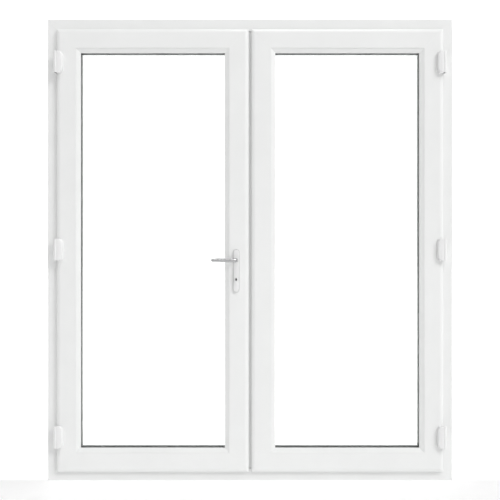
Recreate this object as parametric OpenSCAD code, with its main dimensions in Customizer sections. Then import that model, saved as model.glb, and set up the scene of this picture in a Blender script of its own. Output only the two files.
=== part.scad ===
// A pair of inward-opening glazed doors in a four-sided frame of hollow plastic profiles.
// X runs across the doors, -Y is the room side and +Z is up.
// The origin is at the middle of the sill's underside, halfway through the frame's depth.

/* [Frame] */
// Width over the frame
frame_w = 1800; // [1500:10:2200]
// Height over the frame
frame_h = 2050; // [1700:10:2460]
// Depth of the frame and leaf profiles
profile_d = 70; // [66:1:84]
// Height of the frame profile up to its rebate floor
frame_body = 53; // [50:1:64]
// Height of the outer stop above the rebate floor
frame_stop = 20; // [19:1:24]
// Thickness of the outer stop
stop_t = 15; // [13:1:18]
// Wall of the outer skin of every hollow profile
wall = 2.8; // [2.2:0.1:3.4]
// Wall of the webs inside the profiles
web = 1.8; // [1.2:0.1:2.2]

/* [Leaves] */
// Width of a leaf profile's flat face
sash_face = 86; // [80:1:104]
// Width of the glazing bead
bead_w = 20; // [18:1:25]
// How far a leaf stands in front of the frame's face
leaf_proud = 20; // [18:1:24]
// Cover of the leaf's lip over the frame
leaf_cover = 8; // [6:0.5:9]
// Free space between a leaf's edge and the rebate floor
air_gap = 12; // [11:0.5:14]
// How far the leaves are set below the middle of the frame
leaf_drop = 2; // [0:0.5:3]
// Gap between the two leaves
meeting_gap = 12; // [8:0.5:16]
// Height of the soft seal under a lip
seal_h = 3; // [2:0.5:4]
// Height of the soft seal on the outer stop
stop_seal_h = 5; // [4:0.5:6]

/* [Glazing] */
// Thickness of a pane
pane_t = 4; // [3:0.5:5]
// Width of the cavity between the panes
cavity = 20; // [14:1:22]
// Thickness of the seals and tapes beside the glass
glass_seal = 3; // [2:0.5:4]
// Thickness of the packers under the glass edge
packer_t = 5; // [4:0.5:6]
// Height of the spacer bar
spacer_h = 9; // [7:0.5:10]
// Length of a packer
packer_len = 100; // [60:5:120]

/* [Fixings] */
// Diameter of the fixing holes through the jambs
fixing_d = 8; // [6:0.5:10]
// Distance from the jamb's middle to its outer fixing holes
fixing_outer = 775; // [600:5:780]
// Distance from the jamb's middle to its inner fixing holes
fixing_inner = 260; // [150:5:400]

/* [Hinges] */
// Height of a hinge
hinge_h = 96; // [80:2:120]
// Outer diameter of the hinge barrel
barrel_d = 15; // [14:0.5:18]
// Diameter of the hinge pin
hinge_pin_d = 8; // [6:0.5:9]
// Width of the hinge flag on the leaf
flag_w = 34; // [28:1:40]
// Thickness of the hinge flag
flag_t = 4; // [3:0.5:5]
// Height of the lowest hinge's middle
hinge_low = 200; // [150:5:300]
// Distance from the top of the frame to the highest hinge's middle
hinge_high = 197; // [150:5:300]

/* [Handle and lock] */
// Height of the lever's axis
lever_z = 980; // [900:5:1080]
// Distance from the lever's axis to the leaf's hardware edge
backset = 35; // [30:1:36]
// Distance from the lever's axis down to the cylinder's axis
lever_to_cylinder = 85; // [70:1:92]
// Width of a handle plate
plate_w = 27; // [24:1:34]
// Height of a handle plate
plate_h = 190; // [180:2:230]
// Thickness of a handle plate
plate_t = 8; // [6:0.5:11]
// Reach of the lever from its axis to its tip
lever_len = 108; // [100:2:140]
// Distance from the plate to the lever's back
lever_clear = 36; // [30:1:50]
// Thickness of the lever's grip at its root
grip_t = 17; // [14:0.5:20]
// Thickness of the lever's grip at its tip
grip_tip_t = 14; // [8:0.5:16]
// Side of the square spindle
spindle_side = 8; // [7:0.5:9]
// Travel of the locking rods for a lifted lever
rod_throw = 15; // [10:1:18]
// Throw of the latch bolt
latch_throw = 15; // [14:0.5:16]
// Throw of the dead bolt
dead_throw = 20; // [18:1:24]
// Throw of a flush bolt
flush_throw = 30; // [28:1:32]

/* [Hidden] */
$fn = 48;
fit = 0.05;   // radial running clearance
clear = 0.3;  // clearance between faces that slide or seal past each other
big = 400;

white = "#f2f2f2";
pvc = "#eceeee";
rubber = "#33363a";
steel = "#b9bdc2";
satin = "#c9cbcd";

// Depths: the frame lies evenly about y = 0 and the leaf stands in front of it
frame_front = -profile_d / 2;
frame_back = profile_d / 2;
leaf_front = frame_front - leaf_proud;
leaf_back = leaf_front + profile_d;
stop_face = leaf_back + stop_seal_h;
lip_back = frame_front - seal_h;
stop_back = max(frame_back, stop_face + stop_t);

// The leaf's outline and its profile, measured in from its edge
lip_w = leaf_cover + air_gap;
leaf_edge = frame_body - leaf_cover;
leaf_w = (frame_w - 2 * leaf_edge - meeting_gap) / 2;
leaf_h = frame_h - 2 * leaf_edge;
leaf_x = (meeting_gap + leaf_w) / 2;
leaf_z = leaf_edge - leaf_drop;
sight = sash_face + bead_w;
leg_step = 4;   // how far the outer glazing leg stops short of the sight line
leg_w = sight - leg_step;
leg_t = 20;
leg_edge = 5;
seal_step = 0.5;   // how far the outer glazing seal stops short of its leg
wedge_h = [8, 6.5];   // heights of the inner and outer glazing seals
lip_size = [4, 2];   // the inner seal's lip on the bead: how far forward and how thick
glass_back = leaf_back - leg_t - glass_seal;
glass_front = glass_back - 2 * pane_t - cavity;
glass_edge = sash_face + packer_t;
bead_back = glass_front - glass_seal;
bead_step = 1.5;
bead_front = leaf_front + bead_step;
bead_nose = 2;   // flat strip of a bead beside the leaf's face
bead_fall = 6;   // fall of a bead's face towards the glass
edge_x = meeting_gap / 2 + lip_w;   // hardware edge of a leaf at the meeting line

// Chambers shared by the profiles and the steels inside them
steel_t = 1.5;
frame_steel_in = [15, 21, 9];   // from the front, the back and the rebate floor
frame_steel_y = [frame_front + frame_steel_in[0], frame_back - frame_steel_in[1]];
frame_steel_top = frame_body - frame_steel_in[2];
leaf_steel_in = [16, 18, 12];   // from the front, the back and both edges
leaf_steel_y = [leaf_front + leaf_steel_in[0], leaf_back - leaf_steel_in[1]];
leaf_steel_u = [lip_w + leaf_steel_in[2], sash_face - leaf_steel_in[2]];
steel_setback = 12;

// Hinges
barrel_out = 2;   // from a leaf's edge out to the axis
barrel_off = 0.5;   // from a leaf's face to the barrel
axis_x = meeting_gap / 2 + leaf_w + barrel_out;
axis_y = leaf_front - barrel_d / 2 - barrel_off;
hinge_zs = [hinge_low, (hinge_low + frame_h - hinge_high) / 2, frame_h - hinge_high];
knuckle_gap = 1;
knuckle_h = (hinge_h - knuckle_gap) / 2;
pin_inset = 6;   // from the ends of a hinge to the ends of its pin
foot_t = 6.5;
base_pin_d = 7;
base_pin_len = 14;
base_pin_dz = 16;
flag_from = 1;   // from the barrel to the flag's plate
flag_corner_r = 12;

// Lock, on the meeting edge of the left leaf
lock_x = -(edge_x + backset);
cylinder_z = lever_z - lever_to_cylinder;
groove_y = -12;
groove_w = 16;
faceplate_t = 2.5;
rod_t = 2.5;
groove_d = faceplate_t + rod_t + 1;
rod_w = 10;
rod_slack = 0.1;   // between the rods and the back of the faceplate
rod_gap = 4;   // beyond the travel, at each end of a rod
faceplate_end = 160;
faceplate_z = [faceplate_end, frame_h - faceplate_end];
case_t = 15;
case_z = [lever_z - 120, lever_z + 62];
case_behind = 16;
case_back = backset + case_behind;
case_wall = 1.5;
follower_d = 20;
neck_d = 18;
cam_pin_d = 8;
cam_head_d = 11;
cam_head_t = 2.5;
cam_len = 7;
cam_dz = [130, 250, 320];   // from the outer hinges, below the cylinder, above the lever
cam_zs = [hinge_low + cam_dz[0], cylinder_z - cam_dz[1], lever_z + cam_dz[2],
    frame_h - hinge_high - cam_dz[0]];
bolt_t = case_t - 2 * case_wall - 1;
latch_z = lever_z + 28;
latch_size = [bolt_t, 24];
dead_z = cylinder_z + 30;
dead_size = [bolt_t, 22];
dead_slack = 0.2;   // how far the withdrawn dead bolt lies behind the faceplate's front
dead_tail = 10;
cylinder_d = 17;
cylinder_tail = 10;
cylinder_h = 33;
cylinder_proud = 2;
plug_d = 13;
keyway = [2.6, 4, 5.5, 15];   // width, height above and below the axis, depth
plate_zmid = lever_z - 47;
plate_back = leaf_back + plate_t;
plate_front = leaf_front - plate_t;
cylinder_y = [plate_front - cylinder_proud, plate_back + cylinder_proud];
cam_slot = 10;
cam_w = 8;
cam_r = 13;
screw_d = 6;
screw_sunk = 1;   // depth of a screw's ends below the plates' faces
screw_zs = [lever_z + 30, cylinder_z - 44];
latch_tail = lock_x + screw_d / 2 + 1 + latch_throw;   // drawn back, it stops at the screw
spindle_reach = 25;

// Astragal on the meeting edge of the right leaf, and the flush bolts inside it
astragal_left = -(edge_x - air_gap);
astragal_cap = edge_x + leaf_cover;
astragal_end = 2;   // between the astragal's ends and the frame's stops
astragal_z = [frame_body + frame_stop + astragal_end,
    frame_h - frame_body - frame_stop - astragal_end];
astragal_web = 12;   // solid edge of the astragal that the flush bolts run in
tongue_t = 8;   // front of the astragal that carries on past its ends to the rebate floors
tongue_in = 10;
tongue_end = 3;
tongue_zs = [[frame_body + tongue_end, astragal_z[0] + tongue_in],
    [astragal_z[1] - tongue_in, frame_h - frame_body - tongue_end]];
cap_t = 12;
cap_edge = 4;
keep_t = 2;
keep_edge = 5;   // plate beside a rod's pin
keep_ends = [12, 16];   // plate below and above a pin's travel
keep_lip = [4.5, 1.5, 0.8];   // the hook's rise, and its gaps above and beside the pin
striker_w = 20;
striker_ends = [30, 32];   // striker below the dead bolt and above the latch
flush_y = leaf_back - 6;
flush_side = 9;
flush_d = 9;
flush_len = 260;
flush_x = astragal_left + flush_d / 2 + clear;
flush_end = 4;   // slot left beyond a bolt's travel
knob_size = [4, 6, 22];   // rise, width and length of a bolt's knob
knob_from = 40;   // from a bolt's inner end to its knob
floor_keep = [44, 9, 7];   // length of a bolt's keep, and its edges before and behind the bolt

// Fixings through the jambs, and drain caps on the sill
fixing_zs = [for (dz = [-fixing_outer, -fixing_inner, fixing_inner, fixing_outer])
    frame_h / 2 + dz];
fixing_y = (frame_steel_y[0] + frame_steel_y[1]) / 2;
drain_in = 250;
drain_xs = [-frame_w / 2 + drain_in, 0, frame_w / 2 - drain_in];
drain_z = 17;
drain_slot = [24, 6];
drain_cap = [40, 4, 12];

// ---- Building blocks ----

// A rectangle of a section: from and to are [y, u] corners
module block(from, to) {
    translate(from) square([to[0] - from[0], to[1] - from[1]]);
}

// Sets a length of profile on one side of a w by h rectangle standing on z = 0
module on_side(side, w, h) {
    turn = side == "bottom" ? 0 : side == "left" ? 90 : side == "top" ? 180 : -90;
    shift = side == "bottom" ? [0, 0, 0] : side == "top" ? [0, 0, h]
        : side == "left" ? [-w / 2, 0, h / 2] : [w / 2, 0, h / 2];
    translate(shift) rotate([0, turn, 0]) children();
}

function side_len(side, w, h) = side == "bottom" || side == "top" ? w : h;

// Runs the section drawn by the children, [y, u] with u measured in from the edge, along X
module run(length) {
    rotate([90, 0, 90]) linear_extrude(length, center = true) children();
}

// One side of a frame, cut at 45 degrees at both ends
module mitred(side, w, h) {
    length = side_len(side, w, h);
    deep = 1.3 * sight;
    on_side(side, w, h) intersection() {
        run(length) children();
        rotate([90, 0, 0]) linear_extrude(2 * big, center = true)
            polygon([[-length / 2, 0], [length / 2, 0],
                [length / 2 - deep, deep], [-length / 2 + deep, deep]]);
    }
}

// One side of a frame, cut square, short of the corner by setback at each end
module squared(side, w, h, setback) {
    on_side(side, w, h) run(side_len(side, w, h) - 2 * setback) children();
}

// A whole loop of one rectangular section, [y, u] corners from and to
module loop(w, h, from, to) {
    rotate([90, 0, 0]) translate([0, 0, -to[0]]) linear_extrude(to[0] - from[0]) difference() {
        translate([-w / 2 + from[1], from[1]]) square([w - 2 * from[1], h - 2 * from[1]]);
        translate([-w / 2 + to[1], to[1]]) square([w - 2 * to[1], h - 2 * to[1]]);
    }
}

// Puts a leaf's parts in place: hand is -1 for the left leaf and 1 for the right one
module in_leaf(hand) {
    translate([hand * leaf_x, 0, leaf_z]) children();
}

// A round bar along Y from y0 to y1
module bar_y(d, x, z, y0, y1) {
    translate([x, y1, z]) rotate([90, 0, 0]) cylinder(d = d, h = y1 - y0);
}

// A round bar along X from x0 to x1
module bar_x(d, y, z, x0, x1) {
    translate([x0, y, z]) rotate([0, 90, 0]) cylinder(d = d, h = x1 - x0);
}

// A box between two corners
module box(from, to) {
    translate(from) cube([for (i = [0:2]) to[i] - from[i]]);
}

// ---- Sections, as [y, u] ----

module frame_section() {
    edge = 1.5;
    difference() {
        union() {
            polygon([[frame_front, 0], [frame_front, frame_body - edge],
                [frame_front + edge, frame_body], [stop_back, frame_body], [stop_back, 0]]);
            polygon([[stop_face, 0], [stop_face, frame_body + frame_stop - 2],
                [stop_face + 2, frame_body + frame_stop],
                [stop_back - 3, frame_body + frame_stop - 1],
                [stop_back, frame_body + frame_stop - 5], [stop_back, 0]]);
        }
        block([frame_front + wall, wall], [frame_steel_y[0] - web, frame_body - wall - 1]);
        block([frame_steel_y[0], wall], [frame_steel_y[1], frame_steel_top + clear]);
        block([frame_steel_y[1] + web, wall], [stop_back - wall, frame_body - wall]);
        block([stop_face + wall, frame_body - wall + web], [stop_back - wall,
            frame_body + frame_stop - wall - 4]);
    }
}

module frame_steel_section() {
    difference() {
        block([frame_steel_y[0] + clear, wall], [frame_steel_y[1] - clear, frame_steel_top]);
        block([frame_steel_y[0] + clear + steel_t, wall - 1],
            [frame_steel_y[1] - clear - steel_t, frame_steel_top - steel_t]);
    }
}

module leaf_section() {
    edge = 3;
    difference() {
        union() {
            polygon([[lip_back, 0], [leaf_front + edge, 0], [leaf_front, edge],
                [leaf_front, sash_face], [leaf_back, sash_face], [leaf_back, lip_w],
                [lip_back, lip_w]]);
            polygon([[leaf_back - leg_t, lip_w], [leaf_back - leg_t, leg_w],
                [leaf_back - leg_edge, leg_w], [leaf_back, leg_w - leg_edge],
                [leaf_back, lip_w]]);
        }
        block([leaf_front + wall, wall + 1], [lip_back - wall, lip_w - web]);
        block([leaf_front + wall, lip_w + wall], [leaf_steel_y[0] - web, sash_face - wall]);
        block([leaf_steel_y[0], lip_w + wall], [leaf_steel_y[1], leaf_steel_u[0] - web]);
        block([leaf_steel_y[0], leaf_steel_u[0]], [leaf_steel_y[1], leaf_steel_u[1]]);
        block([leaf_steel_y[0], leaf_steel_u[1] + web], [leaf_steel_y[1], sash_face - wall]);
        block([leaf_steel_y[1] + web, lip_w + wall], [leaf_back - wall, sash_face - wall]);
        block([leaf_back - leg_t + wall, sash_face], [leaf_back - wall, leg_w - wall - leg_edge]);
    }
}

module leaf_steel_section() {
    difference() {
        block([leaf_steel_y[0], leaf_steel_u[0] + clear],
            [leaf_steel_y[1], leaf_steel_u[1] - clear]);
        block([leaf_steel_y[0] + steel_t, leaf_steel_u[0] + clear + steel_t],
            [leaf_steel_y[1] - steel_t, leaf_steel_u[1] - clear - steel_t]);
    }
}

module bead_section() {
    difference() {
        polygon([[bead_front, sash_face], [bead_front, sash_face + bead_nose],
            [bead_front + bead_fall, sight - 1], [bead_front + bead_fall + 1, sight],
            [bead_back - lip_size[0], sight], [bead_back - lip_size[0], sight - lip_size[1]],
            [bead_back, sight - lip_size[1]], [bead_back, sash_face]]);
        block([bead_front + bead_fall, sash_face + wall],
            [bead_back - wall, sight - lip_size[1] - wall]);
    }
}

// ---- Frame ----

module frame_member(side) {
    color(white) mitred(side, frame_w, frame_h) frame_section();
}

module jamb(hand) {
    difference() {
        frame_member(hand < 0 ? "left" : "right");
        hinge_pin_holes(hand);
        fixing_holes(hand);
    }
}

module fixing_holes(hand) {
    for (z = fixing_zs) {
        bar_x(fixing_d, fixing_y, z, hand < 0 ? -frame_w / 2 - 1 : frame_w / 2 - frame_body - 1,
            hand < 0 ? -frame_w / 2 + frame_body + 1 : frame_w / 2 + 1);
    }
}

module hinge_pin_holes(hand) {
    for (z = hinge_zs, dz = [-1, 1]) {
        bar_y(base_pin_d + 2 * fit, hand * (axis_x + barrel_d / 4), base_z(z) + dz * base_pin_dz,
            frame_front - 1, frame_front + base_pin_len + clear);
    }
}

function base_z(z) = z - (knuckle_h + knuckle_gap) / 2;

module frame_head() {
    difference() {
        frame_member("top");
        box([flush_x - flush_d / 2 - clear, flush_y - flush_side / 2 - clear,
            frame_h - frame_body - 1], [flush_x + flush_d / 2 + clear,
            flush_y + flush_side / 2 + clear, frame_h - frame_body + wall + web + flush_end]);
    }
}

module frame_sill() {
    difference() {
        frame_member("bottom");
        box([flush_x - flush_d / 2 - clear, flush_y - flush_side / 2 - clear,
            frame_body - wall - web - flush_end], [flush_x + flush_d / 2 + clear,
            flush_y + flush_side / 2 + clear, frame_body + 1]);
        for (x = drain_xs) {
            box([x - drain_slot[0] / 2, stop_back - wall - 1, drain_z - drain_slot[1] / 2],
                [x + drain_slot[0] / 2, stop_back + 1, drain_z + drain_slot[1] / 2]);
        }
    }
}

module frame_left_jamb() jamb(-1);
module frame_right_jamb() jamb(1);

module frame_steels() {
    color(steel) difference() {
        for (side = ["top", "bottom", "left", "right"]) {
            squared(side, frame_w, frame_h, frame_body + steel_setback) frame_steel_section();
        }
        for (hand = [-1, 1]) {
            fixing_holes(hand);
        }
    }
}

module frame_gasket() {
    u0 = frame_body + air_gap + 1;
    color(rubber) loop(frame_w, frame_h, [leaf_back + clear, u0],
        [stop_face, frame_body + frame_stop - 2]);
}

module drain_caps() {
    color(white) for (x = drain_xs) {
        box([x - drain_cap[0] / 2, stop_back, drain_z - drain_cap[2] / 2],
            [x + drain_cap[0] / 2, stop_back + drain_cap[1], drain_z + drain_cap[2] / 2]);
    }
}

// Plates on the rebate floor that take the flush bolts
module frame_keeps() {
    color(satin) for (z = [frame_body, frame_h - frame_body - keep_t]) {
        difference() {
            box([flush_x - floor_keep[0] / 2, flush_y - floor_keep[1], z],
                [flush_x + floor_keep[0] / 2, flush_y + floor_keep[2], z + keep_t]);
            box([flush_x - flush_d / 2 - clear, flush_y - flush_side / 2 - clear, z - 1],
                [flush_x + flush_d / 2 + clear, flush_y + flush_side / 2 + clear,
                z + keep_t + 1]);
        }
    }
}

// ---- Hinges ----

module hinge_bases() {
    foot_x0 = axis_x + barrel_d / 2 - foot_t;
    foot_x1 = axis_x + barrel_d / 2;
    color(white) for (hand = [-1, 1], z = hinge_zs) {
        difference() {
            union() {
                translate([hand * axis_x, axis_y, z - hinge_h / 2])
                    cylinder(d = barrel_d, h = knuckle_h);
                box([hand < 0 ? -foot_x1 : foot_x0, axis_y, z - hinge_h / 2],
                    [hand < 0 ? -foot_x0 : foot_x1, frame_front, z - hinge_h / 2 + knuckle_h]);
                for (dz = [-1, 1]) {
                    bar_y(base_pin_d, hand * (axis_x + barrel_d / 4), base_z(z) + dz * base_pin_dz,
                        axis_y + barrel_d / 2 + 2, frame_front + base_pin_len);
                }
            }
            translate([hand * axis_x, axis_y, z - hinge_h / 2 + pin_inset])
                cylinder(d = hinge_pin_d, h = knuckle_h);
        }
    }
}

module hinge_pins() {
    color(steel) for (hand = [-1, 1], z = hinge_zs) {
        translate([hand * axis_x, axis_y, z - hinge_h / 2 + pin_inset])
            cylinder(d = hinge_pin_d, h = hinge_h - 2 * pin_inset);
    }
}

// The outline of a flag, straight at the barrel and rounded towards the leaf
module flag_outline(w, h) {
    r = min(flag_corner_r, w / 2);
    hull() {
        translate([0, -h / 2]) square([1, h]);
        for (s = [-1, 1]) {
            translate([w - r, s * (h / 2 - r)]) circle(r);
        }
    }
}

module hinge_flags(hand) {
    plate_x = barrel_d / 2 + flag_from;
    knuckle_z = knuckle_gap / 2;
    color(white) for (z = hinge_zs) {
        translate([hand * axis_x, 0, z]) mirror([hand < 0 ? 0 : 1, 0, 0]) difference() {
            union() {
                translate([plate_x, leaf_front, 0]) rotate([90, 0, 0])
                    linear_extrude(flag_t) flag_outline(flag_w - plate_x, hinge_h);
                translate([0, axis_y, knuckle_z]) cylinder(d = barrel_d, h = knuckle_h);
                box([0, axis_y, knuckle_z],
                    [plate_x + 1, leaf_front - barrel_off, knuckle_z + knuckle_h]);
            }
            translate([0, axis_y, -1])
                cylinder(d = hinge_pin_d + 2 * fit, h = hinge_h / 2 - pin_inset + 1);
        }
    }
}

module left_hinge_flags() hinge_flags(-1);
module right_hinge_flags() hinge_flags(1);

// ---- Leaves ----

module leaf_member(hand, side) {
    color(pvc) in_leaf(hand) mitred(side, leaf_w, leaf_h) leaf_section();
}

module bead(hand, side) {
    color(white) in_leaf(hand) mitred(side, leaf_w, leaf_h) bead_section();
}

module steels(hand) {
    color(steel) in_leaf(hand) for (side = ["top", "bottom", "left", "right"]) {
        squared(side, leaf_w, leaf_h, sash_face + steel_setback) leaf_steel_section();
    }
}

module pane(hand, y) {
    color("lightcyan", 0.4) in_leaf(hand)
        box([-leaf_w / 2 + glass_edge, y, glass_edge],
            [leaf_w / 2 - glass_edge, y + pane_t, leaf_h - glass_edge]);
}

module spacer(hand) {
    bottom = leg_w - spacer_h;
    color("dimgray") in_leaf(hand) difference() {
        loop(leaf_w, leaf_h, [glass_front + pane_t, bottom], [glass_back - pane_t, leg_w]);
        loop(leaf_w, leaf_h, [glass_front + pane_t + 1, bottom + 1],
            [glass_back - pane_t - 1, leg_w - 1]);
    }
}

module glazing_seals(hand) {
    color(rubber) in_leaf(hand) {
        loop(leaf_w, leaf_h, [bead_back, sight - wedge_h[0]], [glass_front, sight - lip_size[1]]);
        loop(leaf_w, leaf_h, [bead_back - lip_size[0], sight - lip_size[1]],
            [glass_front, sight]);
        loop(leaf_w, leaf_h, [glass_back, leg_w - seal_step - wedge_h[1]],
            [leaf_back - leg_t, leg_w - seal_step]);
    }
}

module packers(hand) {
    color("royalblue") in_leaf(hand) {
        for (side = ["top", "bottom", "left", "right"], s = [-1, 1]) {
            away = side_len(side, leaf_w, leaf_h) / 2 - glass_edge - packer_len;
            on_side(side, leaf_w, leaf_h) translate([s * away, 0, 0]) run(packer_len)
                block([glass_front, sash_face], [glass_back, glass_edge]);
        }
    }
}

module lip_seal(hand) {
    color(rubber) in_leaf(hand)
        loop(leaf_w, leaf_h, [lip_back, 1.5], [frame_front - clear, leaf_cover - 1.5]);
}

module left_top_rail() leaf_member(-1, "top");
module left_bottom_rail() leaf_member(-1, "bottom");
module left_hinge_stile() leaf_member(-1, "left");

module left_lock_stile() {
    difference() {
        leaf_member(-1, "right");
        lock_cuts();
    }
}

module left_steels() {
    difference() {
        steels(-1);
        lock_cuts();
    }
}

module left_inner_pane() pane(-1, glass_front);
module left_outer_pane() pane(-1, glass_back - pane_t);
module left_spacer() spacer(-1);
module left_top_bead() bead(-1, "top");
module left_bottom_bead() bead(-1, "bottom");
module left_hinge_bead() bead(-1, "left");
module left_lock_bead() bead(-1, "right");
module left_glazing_seals() glazing_seals(-1);
module left_packers() packers(-1);
module left_lip_seal() lip_seal(-1);

module right_top_rail() leaf_member(1, "top");
module right_bottom_rail() leaf_member(1, "bottom");
module right_hinge_stile() leaf_member(1, "right");
module right_meeting_stile() leaf_member(1, "left");
module right_steels() steels(1);
module right_inner_pane() pane(1, glass_front);
module right_outer_pane() pane(1, glass_back - pane_t);
module right_spacer() spacer(1);
module right_top_bead() bead(1, "top");
module right_bottom_bead() bead(1, "bottom");
module right_hinge_bead() bead(1, "right");
module right_meeting_bead() bead(1, "left");
module right_glazing_seals() glazing_seals(1);
module right_packers() packers(1);

module right_lip_seal() {
    lip_seal(1);
    color(rubber) box([-astragal_cap + 1, leaf_back + clear, astragal_z[0]],
        [-edge_x - 1, stop_face, astragal_z[1]]);
}

// ---- Astragal and flush bolts ----

module astragal_section() {
    difference() {
        polygon([[astragal_left, frame_front], [edge_x, frame_front], [edge_x, leaf_back],
            [astragal_cap, leaf_back], [astragal_cap, stop_face + cap_t - cap_edge],
            [astragal_cap - cap_edge, stop_face + cap_t],
            [-astragal_cap + cap_edge, stop_face + cap_t],
            [-astragal_cap, stop_face + cap_t - cap_edge], [-astragal_cap, stop_face],
            [astragal_left, stop_face]]);
        block([astragal_left + astragal_web, frame_front + wall],
            [edge_x - wall, leaf_back - wall]);
        block([-astragal_cap + wall + 2, stop_face + wall],
            [astragal_cap - wall - 2, stop_face + cap_t - wall]);
    }
}

module flush_slot(extra, z0, z1) {
    box([astragal_left - 1, flush_y - flush_side / 2 - extra, z0],
        [flush_x + flush_d / 2 + extra, flush_y + flush_side / 2 + extra, z1]);
}

module astragal() {
    color(white) difference() {
        union() {
            translate([0, 0, astragal_z[0]]) linear_extrude(astragal_z[1] - astragal_z[0])
                astragal_section();
            for (z = tongue_zs) {
                box([astragal_left, frame_front, z[0]], [edge_x, frame_front + tongue_t, z[1]]);
            }
        }
        flush_slot(clear, astragal_z[0] - 1, astragal_z[0] + flush_len + flush_throw + flush_end);
        flush_slot(clear, astragal_z[1] - flush_len - flush_throw - flush_end,
            astragal_z[1] + 1);
        bolt_pocket(latch_z, latch_size, 1.5);
        bolt_pocket(dead_z, dead_size, 1.5);
    }
}

module bolt_pocket(z, size, extra) {
    box([astragal_left - keep_t - 1, groove_y - size[0] / 2 - extra, z - size[1] / 2 - extra],
        [-edge_x + dead_throw + 3, groove_y + size[0] / 2 + extra, z + size[1] / 2 + extra]);
}

// Hooks for the rods' pins, and the striker for the two bolts
module astragal_keeps() {
    x0 = astragal_left - keep_t;
    x1 = astragal_left;
    pin_r = cam_head_d / 2;
    color(satin) {
        for (z = cam_zs) {
            box([x0, groove_y - pin_r - keep_edge, z - rod_throw - keep_ends[0]],
                [x1, groove_y + pin_r + keep_edge, z + rod_throw + keep_ends[1]]);
            box([x0 - keep_lip[0], groove_y - pin_r - keep_edge, z + pin_r + keep_lip[1]],
                [x0, groove_y - pin_r - keep_lip[2], z + rod_throw + keep_ends[1]]);
        }
        difference() {
            box([x0, groove_y - striker_w / 2, dead_z - striker_ends[0]],
                [x1, groove_y + striker_w / 2, latch_z + striker_ends[1]]);
            bolt_pocket(latch_z, latch_size, 1);
            bolt_pocket(dead_z, dead_size, 1);
        }
    }
}

// A sliding bolt with a thumb knob; way is 1 for the top one
module flush_bolt(way) {
    tip = way > 0 ? astragal_z[1] : astragal_z[0];
    knob_z = tip - way * (flush_len - knob_from);
    color(satin) {
        box([flush_x - flush_d / 2, flush_y - flush_side / 2, way > 0 ? tip - flush_len : tip],
            [flush_x + flush_d / 2, flush_y + flush_side / 2, way > 0 ? tip : tip + flush_len]);
        box([astragal_left - knob_size[0], flush_y - knob_size[1] / 2, knob_z - knob_size[2] / 2],
            [flush_x, flush_y + knob_size[1] / 2, knob_z + knob_size[2] / 2]);
    }
}

module top_flush_bolt() flush_bolt(1);
module bottom_flush_bolt() flush_bolt(-1);

// ---- Lock ----

// The hole shape of a profile cylinder, along Y
module cylinder_profile(extra, y0, y1) {
    bar_y(cylinder_d + 2 * extra, lock_x, cylinder_z, y0, y1);
    box([lock_x - cylinder_tail / 2 - extra, y0,
        cylinder_z + cylinder_d / 2 - cylinder_h - extra],
        [lock_x + cylinder_tail / 2 + extra, y1, cylinder_z]);
}

// Everything that is cut from the lock stile and the steel in it
module lock_cuts() {
    box([-edge_x - groove_d, groove_y - groove_w / 2, faceplate_z[0] - clear],
        [-edge_x + 1, groove_y + groove_w / 2, faceplate_z[1] + clear]);
    box([-edge_x - case_back - clear, groove_y - case_t / 2 - clear, case_z[0] - clear],
        [-edge_x + 1, groove_y + case_t / 2 + clear, case_z[1] + clear]);
    bar_y(neck_d + 4, lock_x, lever_z, leaf_front - 1, leaf_back + 1);
    cylinder_profile(1, leaf_front - 1, leaf_back + 1);
    for (z = screw_zs) {
        bar_y(screw_d + 2, lock_x, z, leaf_front - 1, leaf_back + 1);
    }
}

module lock_faceplate() {
    color(satin) difference() {
        box([-edge_x - faceplate_t, groove_y - groove_w / 2, faceplate_z[0]],
            [-edge_x, groove_y + groove_w / 2, faceplate_z[1]]);
        for (z = cam_zs) {
            box([-edge_x - faceplate_t - 1, groove_y - cam_pin_d / 2 - clear,
                z - cam_pin_d / 2 - rod_throw - 1], [-edge_x + 1,
                groove_y + cam_pin_d / 2 + clear, z + cam_pin_d / 2 + rod_throw + 1]);
        }
        bolt_hole(latch_z, latch_size);
        bolt_hole(dead_z, dead_size);
    }
}

module bolt_hole(z, size) {
    box([-edge_x - groove_d - case_wall - 1, groove_y - size[0] / 2 - clear,
        z - size[1] / 2 - clear], [-edge_x + 1, groove_y + size[0] / 2 + clear,
        z + size[1] / 2 + clear]);
}

module lock_case() {
    front = -edge_x - faceplate_t;
    back = -edge_x - case_back;
    color(steel) difference() {
        box([back, groove_y - case_t / 2, case_z[0]], [front, groove_y + case_t / 2, case_z[1]]);
        box([back + case_wall, groove_y - case_t / 2 + case_wall, case_z[0] + case_wall],
            [front - case_wall, groove_y + case_t / 2 - case_wall, case_z[1] - case_wall]);
        bolt_hole(latch_z, latch_size);
        bolt_hole(dead_z, dead_size);
        bar_y(follower_d + 2 * fit, lock_x, lever_z, groove_y - case_t, groove_y + case_t);
        cylinder_profile(clear, groove_y - case_t, groove_y + case_t);
        for (z = screw_zs) {
            bar_y(screw_d + 2 * clear, lock_x, z, groove_y - case_t, groove_y + case_t);
        }
    }
}

// The hub that the spindle turns inside the lock
module lock_follower() {
    color(steel) difference() {
        bar_y(follower_d, lock_x, lever_z, groove_y - case_t / 2, groove_y + case_t / 2);
        spindle_hole(groove_y - case_t, groove_y + case_t);
    }
}

module spindle_hole(y0, y1) {
    side = spindle_side / 2;
    box([lock_x - side, y0, lever_z - side], [lock_x + side, y1, lever_z + side]);
}

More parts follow.
